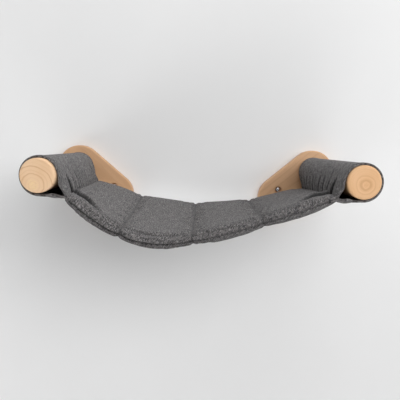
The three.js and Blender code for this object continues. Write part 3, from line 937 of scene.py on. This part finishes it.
def creased(rings):
    """Presses the folds, the stitched grooves and the seams' puckers into the pillow.

    Gives its new shape and each point's painted shade, dark in the folds, grooves, seams and
    puckers.
    """
    across = arc_lengths(rings, 1)
    behind = rings[..., 1] - rings[..., 1].min(axis=1, keepdims=True)
    on_top = (column_at > ARC_STEPS / 2) & (column_at < ARC_STEPS + FLAT_STEPS)

    from_end = np.minimum(row_places, MAT_LENGTH - row_places)[:, None]
    left_over = np.clip(1 - from_end / CORNER_FOLD_LENGTH, 0, 1)
    past_fold = behind - RIDGE_BACK - (CORNER_FOLD_BACK - RIDGE_BACK) * left_over**1.5
    in_corner = ease(left_over * 1.6)
    valley = bell(past_fold, VALLEY_WIDTH)
    brow = bell(past_fold - BROW_BACK, BROW_WIDTH)
    corner = CORNER_FOLD_DEPTH * in_corner * (CORNER_SINK * valley - CORNER_RISE * brow)
    fold = (RIDGE_DEPTH * valley + corner) * on_top

    groove = np.zeros_like(across)
    for step in (TOPSTITCH_STEP, opposite(TOPSTITCH_STEP)):
        from_row = across - across[:, column_of(step)][:, None]
        groove += STITCH_GROOVE * bell(from_row, GROOVE_WIDTH)

    pucker = np.zeros_like(across)
    chance = np.random.default_rng(PUCKER_SEED)
    for seam in SEAMS[1:-1]:
        from_seam = row_places[:, None] - seam
        wave = across / PUCKER_PITCH
        wave += 0.35 * np.sin(across / PUCKER_DRIFT + chance.uniform(0, 6))
        for half in (-1, 1):
            turn = 2 * np.pi * (wave + chance.uniform(0, 1))
            fade = np.exp(-np.abs(from_seam) / PUCKER_REACH) * (from_seam * half > 0)
            fade = fade * ease(np.abs(from_seam) / PUCKER_START)
            pucker += PUCKER_DEPTH * np.sin(turn) * fade

    # Painted shade: dark in the folds and on the step behind a corner fold, in the stitched
    # grooves, along the cross seams and in the puckers' hollows.
    face = bell(past_fold - STEP_BACK, STEP_WIDTH)
    in_fold = np.maximum(RIDGE_PAINTED_SHADE * valley, CORNER_PAINTED_SHADE * in_corner * face) * on_top
    groove_painted_shade = np.where(row_places < SEAMS[1], FIRST_GROOVE_PAINTED_SHADE, GROOVE_PAINTED_SHADE)[:, None]
    from_cross = np.min([np.abs(row_places - seam) for seam in SEAMS[1:-1]], axis=0)[:, None]
    painted_shade = np.maximum(in_fold, groove_painted_shade * groove / STITCH_GROOVE)
    painted_shade = np.maximum(painted_shade, CROSS_SEAM_PAINTED_SHADE * bell(from_cross, CROSS_SEAM_SHADE_WIDTH))
    painted_shade = painted_shade + PUCKER_PAINTED_SHADE * np.maximum(0, pucker) / PUCKER_DEPTH
    return rings - outward(rings, wrap=True) * (fold + groove + pucker)[..., None], painted_shade


fine = resampled(resampled(swollen, column_at, 1, wrap=True), row_at, 0)
pillow_shape, pillow_painted_shade = creased(fine)
pillow_normals = outward(pillow_shape, wrap=True)


def cover(name, columns, material, slot, node):
    """One of the mat's covers: a band of the pillow's loop, with its thickness inwards."""
    outer = pillow_shape[:, columns]
    inner = outer - pillow_normals[:, columns] * COVER_THICKNESS
    uv = np.stack([arc_lengths(outer, 0), arc_lengths(outer, 1)], axis=-1)
    piece = shell(name, outer, inner, uv, pillow_painted_shade[:, columns])
    smooth(piece, 60)
    return finished(piece, material, "hammock", slot, node)


front_seam, rear_seam = column_of(EDGE_SEAM_STEP), column_of(opposite(EDGE_SEAM_STEP))
top_columns = np.arange(front_seam, rear_seam + 1)
bottom_columns = np.concatenate([np.arange(rear_seam, len(column_at)), np.arange(front_seam + 1)])
top_cover = cover("mat_top_cloth", top_columns, HEATHER, "cover_fabric", "mat_top_cover")
bottom_cover = cover(
    "mat_bottom_cloth", bottom_columns, LINING, "lining_fabric", "mat_bottom_cover"
)

WADDING_INSET = 3.4 * MM


def batting():
    """The sheet of wadding, which fills the covers and stops short of the sleeves' tails."""
    end = SEAM_TAIL + COVER_SETBACK
    within = places[(places > end) & (places < MAT_LENGTH - end)]
    rings = pillow_rings(within, sink=0, inset=WADDING_INSET)
    rows, count = rings.shape[:2]
    faces = grid_faces(rows, count, wrap=True)
    faces += [tuple(range(count))[::-1], tuple((rows - 1) * count + k for k in range(count))]
    piece = mesh_piece("mat_wadding", rings, faces)
    face_outwards(piece)
    smooth(piece, 60)
    return finished(piece, WADDING, "hammock", "wadding", "mat_batting")


wadding_piece = batting()


# ---- Sleeves ------------------------------------------------------------------------------------

LIP_ROWS = 90  # drawn finest, round the fold
BODY_ROWS = 200
LIP_END = 66 * MM
TAIL_STEPS = 4
RUN_STEPS = 22
WRAP_STEPS = 58
LOWER_STEPS = 18
EDGE_ROUND = 1.8 * MM
EDGE_ROUND_STEPS = 6
SEAM_HOLD = 0.4  # the share of a run over which the seam lets the hem draw in


def sleeve_section(name, y, pull):
    """The middle line of the sleeve's fabric at depth y, where a pull draws it in to its dowel.

    Gives its points, each one's length up the cloth from the upper seam, and the length of the
    free run from that seam to the dowel.
    """
    side = SIDES[name]
    axis = np.array([side * DOWEL_SPACING / 2, 0])
    radius = DOWEL_RADIUS + SEAT_GAP + SLEEVE_THICKNESS / 2
    layer = (SEAT_GAP + SLEEVE_THICKNESS) / 2

    def on_end(inward, rise):
        along = inward if side < 0 else MAT_LENGTH - inward
        return on_mat(along, rise, y)[..., [0, 2]]

    tail = np.linspace(SEAM_TAIL, -SEAM_EASE, TAIL_STEPS + 1)
    upper = on_end(tail, layer)
    lower = on_end(tail[::-1], -layer)

    def angle_of(point):
        rel = point - axis
        return math.atan2(side * rel[0], rel[1]) % (2 * math.pi)

    def touch(point, reach):
        return math.acos(reach / np.linalg.norm(point - axis))

    start = angle_of(upper[-1]) + touch(upper[-1], radius) - 2 * math.pi
    end = angle_of(lower[0]) - touch(lower[0], radius + LOW_SLACK[name])
    angle = np.linspace(start, end, WRAP_STEPS + 1)
    beside, below = ease(angle * 2 / np.pi), ease(angle * 2 / np.pi - 1)
    reach = radius + FAR_SLACK[name] * beside + (LOW_SLACK[name] - FAR_SLACK[name]) * below
    wrap = np.stack([axis[0] + side * reach * np.sin(angle), reach * np.cos(angle)], axis=-1)

    def run(a, b, t, bulge):
        t = t[1:-1, None]
        across = b - a
        out = side * np.array([-across[1], across[0]]) / np.linalg.norm(across)
        return a + (b - a) * t + out * bulge * np.sin(np.pi * t)

    rising = np.linspace(0, 1, RUN_STEPS + 1)
    falling = np.linspace(0, 1, LOWER_STEPS + 1)
    upper_run = run(upper[-1], wrap[0], rising, SLEEVE_BULGE)
    lower_run = run(wrap[-1], lower[0], falling, UNDERSIDE_SAG[name])
    line = np.concatenate([upper, upper_run, wrap, lower_run, lower])
    still = np.zeros(TAIL_STEPS)
    freed = np.concatenate([still, rising, np.ones(WRAP_STEPS - 1), 1 - falling, still])
    from_axis = line - axis
    reach = np.linalg.norm(from_axis, axis=1)
    drawn = radius + (reach - radius) * (1 - pull * ease(freed / SEAM_HOLD))
    line = axis + from_axis * (drawn / reach)[:, None]
    steps = np.linalg.norm(np.diff(line, axis=0), axis=1)
    length = np.concatenate([[0], np.cumsum(steps)])
    return line, length - length[TAIL_STEPS], length[TAIL_STEPS + RUN_STEPS] - length[TAIL_STEPS]


REVEALS = {"left": 11 * MM, "right": 6 * MM}  # of the dowels, in front of their sleeves
SLEEVE_REAR_GAP = 4 * MM

GATHER_SEEDS = {"left": 11, "right": 7}
GATHER_COUNT = 15
GATHER_DEPTH = 2.8 * MM
# Painted shade in a gather's crease.
GATHER_PAINTED_SHADE = 0.8
FOLD_DEPTH = 6.5 * MM  # of the one fold behind the lip
FOLD_WIDTH = 2.1 * MM
FOLD_LEAN = 0.2
FOLD_REACH = 30 * MM
FOLD_BROW_BACK = 7 * MM
FOLD_BROW_WIDTH = 5 * MM
FOLD_BROW_RISE = 0.4
# Painted shade in the fold behind the lip, and how wide it runs.
FOLD_PAINTED_SHADE = 1.3
FOLD_PAINTED_SHADE_WIDTH = 4.5 * MM

UNDER_SEEDS = {"left": 23, "right": 29}
UNDER_COUNT = 9
UNDER_DEPTH = 1 * MM
UNDER_MARGIN = 20 * MM  # from either edge to the nearest of the folds
UNDER_CLEAR = 30 * MM  # from where the sleeve meets the dowel to where these folds may start

CONTACT_START = 6 * MM  # before the dowel, where creases begin to flatten
CONTACT_LENGTH = 10 * MM
EDGE_HOLD = 6 * MM  # from an edge, over which folds grow to their full depth
HEM_FADE = 1.5 * MM
HEM_GROOVE = 0.45 * MM
HEM_GROOVE_WIDTH = 0.9 * MM
# Painted shade in the hem's stitched grooves.
HEM_PAINTED_SHADE = 0.4


def gathers(name, depths, up):
    """How far the cloth stands out between creases that start at the seam and fade up the sleeve.

    The one behind the lip is the deepest. Gives each point's painted shade too, dark in the
    creases.
    """
    chance = np.random.default_rng(GATHER_SEEDS[name])
    front, rear = depths[0], depths[-1]
    depths = depths[:, None]
    total = np.zeros_like(up)
    painted_shade = np.zeros_like(up)
    pitch = (rear - front - FOLD_BACK - HEM_WIDTH) / GATHER_COUNT
    for k in range(GATHER_COUNT):
        centre = front + FOLD_BACK + pitch * (k + 0.8 + chance.uniform(-0.2, 0.2))
        width = chance.uniform(1.4, 2.3) * MM
        depth = GATHER_DEPTH * chance.uniform(0.5, 1.2)
        reach = chance.uniform(24, 60) * MM
        lean = chance.uniform(-0.4, -0.1)
        across = depths - centre - lean * up
        fade = np.clip(1 - up / reach, 0, 1) ** 0.8 * np.clip((up + 2 * MM) / (5 * MM), 0.25, 1)
        puff = bell(across - pitch / 2, pitch / 3)
        total += depth * (puff / 2 - bell(across, width)) * fade
        shade = bell(across, 1.6 * width) * fade * depth / GATHER_DEPTH
        painted_shade = np.maximum(painted_shade, GATHER_PAINTED_SHADE * shade)
    across = depths - front - FOLD_BACK + FOLD_LEAN * up
    fade = ease(1.25 - up / FOLD_REACH)
    brow = bell(across - FOLD_BROW_BACK, FOLD_BROW_WIDTH)
    total += FOLD_DEPTH * (FOLD_BROW_RISE * brow - bell(across, FOLD_WIDTH)) * fade
    return total, np.maximum(painted_shade, FOLD_PAINTED_SHADE * bell(across, FOLD_PAINTED_SHADE_WIDTH) * fade)


def lower_gathers(name, depths, down):
    """Softer folds on the underside, from the lower seam."""
    chance = np.random.default_rng(UNDER_SEEDS[name])
    total = np.zeros_like(down)
    for centre in np.linspace(depths[0] + UNDER_MARGIN, depths[-1] - UNDER_MARGIN, UNDER_COUNT):
        at = centre + chance.uniform(-7, 7) * MM
        width = chance.uniform(5, 8) * MM
        reach = chance.uniform(20, 38) * MM
        total += UNDER_DEPTH * bell(depths[:, None] - at, width) * np.clip(1 - down / reach, 0, 1)
    return total


def sleeve(name):
    """A loop of doubled cloth with hemmed ends. Gives what its stitches need too."""
    side = SIDES[name]
    front = DOWEL_FRONT + REVEALS[name]
    rear = -BOARD_THICKNESS - SLEEVE_REAR_GAP
    eased = (1 - np.cos(np.linspace(0, np.pi / 2, EDGE_ROUND_STEPS + 1))) * EDGE_ROUND
    lip = np.linspace(front + EDGE_ROUND, front + LIP_END, LIP_ROWS)[1:]
    body = np.linspace(front + LIP_END, rear - EDGE_ROUND, BODY_ROWS)[1:-1]
    depths = np.concatenate([front + eased, lip, body, (rear - eased)[::-1]])
    pulls = LIP_PULL * (1 - ease((depths - front) / LIP_DEPTH))
    pulls += REAR_PULL * (1 - ease((rear - depths) / LIP_DEPTH))
    sections = [sleeve_section(name, y, pull) for y, pull in zip(depths, pulls)]
    line, up, free = (np.array(part) for part in zip(*sections))
    down = up[:, -1:] - (SEAM_TAIL + SEAM_EASE) - up
    edge = np.minimum(depths - front, rear - depths)[:, None]
    heading = np.gradient(line, axis=1)
    out = side * np.stack([-heading[..., 1], heading[..., 0]], axis=-1)
    out /= np.linalg.norm(out, axis=-1, keepdims=True)

    # Creases flatten where the dowel backs them. The underside's folds hang clear of it.
    past_free = up - free[:, None]
    backed = np.clip((past_free + CONTACT_START) / CONTACT_LENGTH, 0, 1)
    folds, painted_shade = gathers(name, depths, np.maximum(up, 0))
    folds = np.where(up > -1 * MM, folds, 0)
    folds = np.where(folds < 0, folds * (1 - backed), folds)
    under = lower_gathers(name, depths, np.maximum(down, 0))
    folds += np.where((down > 0) & (past_free > UNDER_CLEAR), under, 0)
    line = line + out * (folds * np.clip(edge / EDGE_HOLD, 0.25, 1))[..., None]

    hemmed = (up >= 0) & (down >= 0)
    hem = 1 - np.clip((edge - HEM_WIDTH) / HEM_FADE, 0, 1)
    groove = sum(bell(edge - row, HEM_GROOVE_WIDTH) for row in HEM_STITCH_ROWS)
    rounding = np.sqrt(np.clip(1 - (1 - np.clip(edge / EDGE_ROUND, 0, 1)) ** 2, 0.0004, 1))
    thick_out = (SLEEVE_THICKNESS / 2 + HEM_FOLD * hem * hemmed) * rounding
    thick_out -= HEM_GROOVE * groove * hemmed
    faces = []
    for offset in (thick_out, -SLEEVE_THICKNESS / 2 * rounding):
        x, z = np.moveaxis(line + out * offset[..., None], -1, 0)
        faces.append(np.stack(np.broadcast_arrays(x, depths[:, None], z), axis=-1))
    outer, inner = faces
    uv = np.stack([arc_lengths(outer, 0), up], axis=-1)
    # Painted shade: dark in the creases but for where the dowel backs them, and in the hem's
    # grooves.
    painted_shade = np.maximum(painted_shade * (1 - backed), HEM_PAINTED_SHADE * groove * hemmed)
    piece = shell(f"{name}_sleeve_cloth", outer, inner, uv, painted_shade)
    smooth(piece, 50)
    finished(piece, HEATHER, "hammock", "sleeve_fabric", f"{name}_sleeve")
    return piece, outer, edge.ravel(), up


sleeves = {name: sleeve(name) for name in SIDES}


# ---- Stitching ----------------------------------------------------------------------------------

STITCH_CLEAR = 2 * MM  # from a sleeve's seams to its first and last stitches


def at_length(values, reached, place):
    """A line's values at a place along it."""
    return np.array([np.interp(place, reached, values[:, k]) for k in range(3)])


def stitched(name, rows):
    """Rows of stitches as one piece. Each row is a line of points with the cloth's normals."""
    bpy.ops.mesh.primitive_uv_sphere_add(segments=6, ring_count=5, radius=0.5)
    base = bpy.context.active_object
    shape = np.array([v.co[:] for v in base.data.vertices])
    shape[:, 2] = np.sign(shape[:, 2]) * np.abs(shape[:, 2] * 2) ** 0.6 / 2
    base_faces = [tuple(p.vertices) for p in base.data.polygons]
    bpy.data.objects.remove(base)
    points = []
    faces = []
    for line, normals in rows:
        reached = arc_lengths(line, 0)
        count = int(reached[-1] // STITCH_PITCH)
        margin = (reached[-1] - count * STITCH_PITCH) / 2
        for k in range(count):
            middle = margin + (k + 0.5) * STITCH_PITCH
            a = at_length(line, reached, middle - STITCH_LENGTH / 2)
            b = at_length(line, reached, middle + STITCH_LENGTH / 2)
            along = (b - a) / np.linalg.norm(b - a)
            beside = np.cross(at_length(normals, reached, middle), along)
            beside /= np.linalg.norm(beside)
            axes = [beside * STITCH_WIDTH, np.cross(along, beside) * STITCH_WIDTH, b - a]
            start = len(points)
            points += list(shape @ np.stack(axes) + (a + b) / 2)
            faces += [tuple(start + v for v in face) for face in base_faces]
    piece = mesh_piece(name, points, faces)
    smooth(piece, 80)
    return finished(piece, THREAD, "hammock", "cover_fabric")


def on_pillow(rows, columns):
    """A line on the pillow's surface, with the normals there."""
    return pillow_shape[rows, columns], pillow_normals[rows, columns]


over_top = np.arange(column_of(ARC_STEPS - 3), column_of(ARC_STEPS + FLAT_STEPS + 3) + 1)
along_bottom = np.arange(column_of(REAR_END + 1), len(column_at))
last = len(row_at) - 1
rows_of = {
    "mat_seam_stitches": [nearest(row_places, seam) for seam in SEAMS[1:-1]],
    "mat_end_stitches": [2, 4, last - 4, last - 2],
}
edge_columns = [column_of(step) for step in (TOPSTITCH_STEP, opposite(TOPSTITCH_STEP))]
stitched("mat_edge_stitches", [on_pillow(slice(None), column) for column in edge_columns])
for name, rings in rows_of.items():
    stitched(name, [on_pillow(ring, part) for ring in rings for part in (over_top, along_bottom)])

for name, (piece, outer, edge, up) in sleeves.items():
    normals = outward(outer)
    upper_seam, lower_seam = 0, up[0, -1] - SEAM_TAIL - SEAM_EASE
    bare = (up[0] > upper_seam + STITCH_CLEAR) & (up[0] < lower_seam - STITCH_CLEAR)
    half = len(edge) // 2
    hem_rows = []
    for target in HEM_STITCH_ROWS:
        hem_rows += [nearest(edge[:half], target), half + nearest(edge[half:], target)]
    lines = [(outer[row, bare], normals[row, bare]) for row in hem_rows]
    stitches = stitched(f"{name}_hem_stitches", lines)


# ---- Hardware -----------------------------------------------------------------------------------

HARDWARE_FINISHES = {"insert": BRASS, "anchor": NYLON, "bolt": ZINC, "screw": ZINC}

for node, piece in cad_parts.items():
    for word, finish in HARDWARE_FINISHES.items():
        if word in node:
            piece.data.materials.clear()
            piece.data.materials.append(finish)


# ---- Wall, floor, light and camera --------------------------------------------------------------

WALL_SIZE = 7.0
WALL_FACE = 0.4 * MM  # behind the boards' backs
HOLE_MARGIN = 4 * MM  # from a board's outline to the edge of the wall's hole behind it
FLOOR_HEIGHT = -2.2


def backdrop(name, shade):
    """Matt paint that is seen from its front alone."""
    paint = Finish(name, Roughness=0.9)
    paint.mottled(paint.noise(paint.placed(), 14), 0.985, shade)
    tree = paint.tree
    clear = tree.nodes.new("ShaderNodeBsdfTransparent")
    either = tree.nodes.new("ShaderNodeMixShader")
    behind = tree.nodes.new("ShaderNodeNewGeometry")
    tree.links.new(behind.outputs["Backfacing"], either.inputs["Fac"])
    tree.links.new(paint.shader.outputs["BSDF"], either.inputs[1])
    tree.links.new(clear.outputs["BSDF"], either.inputs[2])
    tree.links.new(either.outputs["Shader"], tree.nodes["Material Output"].inputs["Surface"])
    return paint.material


def stage_piece(piece, name, place, turn, shade):
    piece.location = place
    piece.rotation_euler = turn
    settle(piece, name)
    piece.data.materials.append(backdrop(f"{name}_paint", shade))


def pill(name, margin, steps=32):
    """A board's outline, drawn in by a margin."""
    side = SIDES[name]
    top = np.array([side * DOWEL_SPACING / 2, 0])
    down = np.array([-side * math.sin(BOARD_TURN), -math.cos(BOARD_TURN)])
    turn = np.linspace(0, np.pi, steps + 1)[:, None]
    across = np.array([-down[1], down[0]])
    cap = (across * np.cos(turn) + down * np.sin(turn)) * (BOARD_WIDTH / 2 - margin)
    return np.concatenate([top + down * BOARD_CENTRE_DISTANCE + cap, top - cap])


def wall():
    """A flat wall with a hole behind each board, so that the boards' backs are lit."""
    drawn = bpy.data.curves.new("wall", "CURVE")
    drawn.dimensions = "2D"
    drawn.fill_mode = "FRONT"
    half = WALL_SIZE / 2
    square = np.array([(-half, -half), (half, -half), (half, half), (-half, half)])
    square += [0, FLOOR_HEIGHT + half]
    for outline in (square, *(pill(name, HOLE_MARGIN) for name in SIDES)):
        spline = drawn.splines.new("POLY")
        spline.points.add(len(outline) - 1)
        spline.use_cyclic_u = True
        for point, at in zip(spline.points, outline):
            point.co = (*at, 0, 1)
    alone(added("wall", drawn))
    bpy.ops.object.convert(target="MESH")
    return bpy.context.active_object


stage_piece(wall(), "wall", (0, WALL_FACE, 0), (math.pi / 2, 0, 0), (0.87, 0.87, 0.87))
bpy.ops.mesh.primitive_plane_add(size=WALL_SIZE)
floor_place = (0, -WALL_SIZE / 2, FLOOR_HEIGHT)
stage_piece(bpy.context.active_object, "floor", floor_place, (0, 0, 0), (0.78, 0.775, 0.77))


LAMP_AIM = Vector((0, -0.15, 0))
LAMP_DISTANCE = 2.4
LAMP_SIZE = 1.4


def lamp(name, azimuth, elevation, power):
    """A round soft lamp.

    Azimuth runs from straight in front to the right, and elevation up from level.
    """
    azimuth, elevation = math.radians(azimuth), math.radians(elevation)
    level = math.cos(elevation)
    away = Vector((math.sin(azimuth) * level, -math.cos(azimuth) * level, math.sin(elevation)))
    light = bpy.data.lights.new(name, "AREA")
    light.shape = "DISK"
    light.size = LAMP_SIZE
    light.energy = power
    holder = added(name, light)
    holder.location = LAMP_AIM + away * LAMP_DISTANCE
    holder.rotation_euler = (-away).to_track_quat("-Z", "Y").to_euler()
lamp("key", 15, 20, 16.5)
lamp("key_side", 40, 20, 15)
lamp("side", 80, 15, 16)
lamp("high", 20, 70, 12)
lamp("high_left", -50, 45, 7)
lamp("low_fill", -75, -35, 20)
lamp("low_front", 10, -50, 6.5)
lamp("behind", 150, 20, 30)

world = bpy.data.worlds.new("room")
world.use_nodes = True
background = world.node_tree.nodes["Background"]
background.inputs["Color"].default_value = (0.98, 0.99, 1.0, 1)
background.inputs["Strength"].default_value = 0.2
bpy.context.scene.world = world
bpy.context.scene.view_settings.view_transform = "Standard"

EYE = Vector((-28.98 * MM, -1142.57 * MM, 47.83 * MM))
YAW = 0.0328570  # to the right
PITCH = 0.0978692  # down
ROLL = 0.0238276
LENS = 50
SENSOR = 36

ahead = Vector((math.sin(YAW) * math.cos(PITCH), math.cos(YAW) * math.cos(PITCH), -math.sin(PITCH)))
level = Vector((math.cos(YAW), -math.sin(YAW), 0))
upright = level.cross(ahead)
rightward = math.cos(ROLL) * level + math.sin(ROLL) * upright
upward = -math.sin(ROLL) * level + math.cos(ROLL) * upright
camera = added("camera", bpy.data.cameras.new("camera"))
camera.data.lens = LENS
camera.data.sensor_width = SENSOR
camera.data.clip_end = 50
turned = Matrix((rightward, upward, -ahead)).transposed().to_4x4()
camera.matrix_world = Matrix.Translation(EYE) @ turned
bpy.context.scene.camera = camera
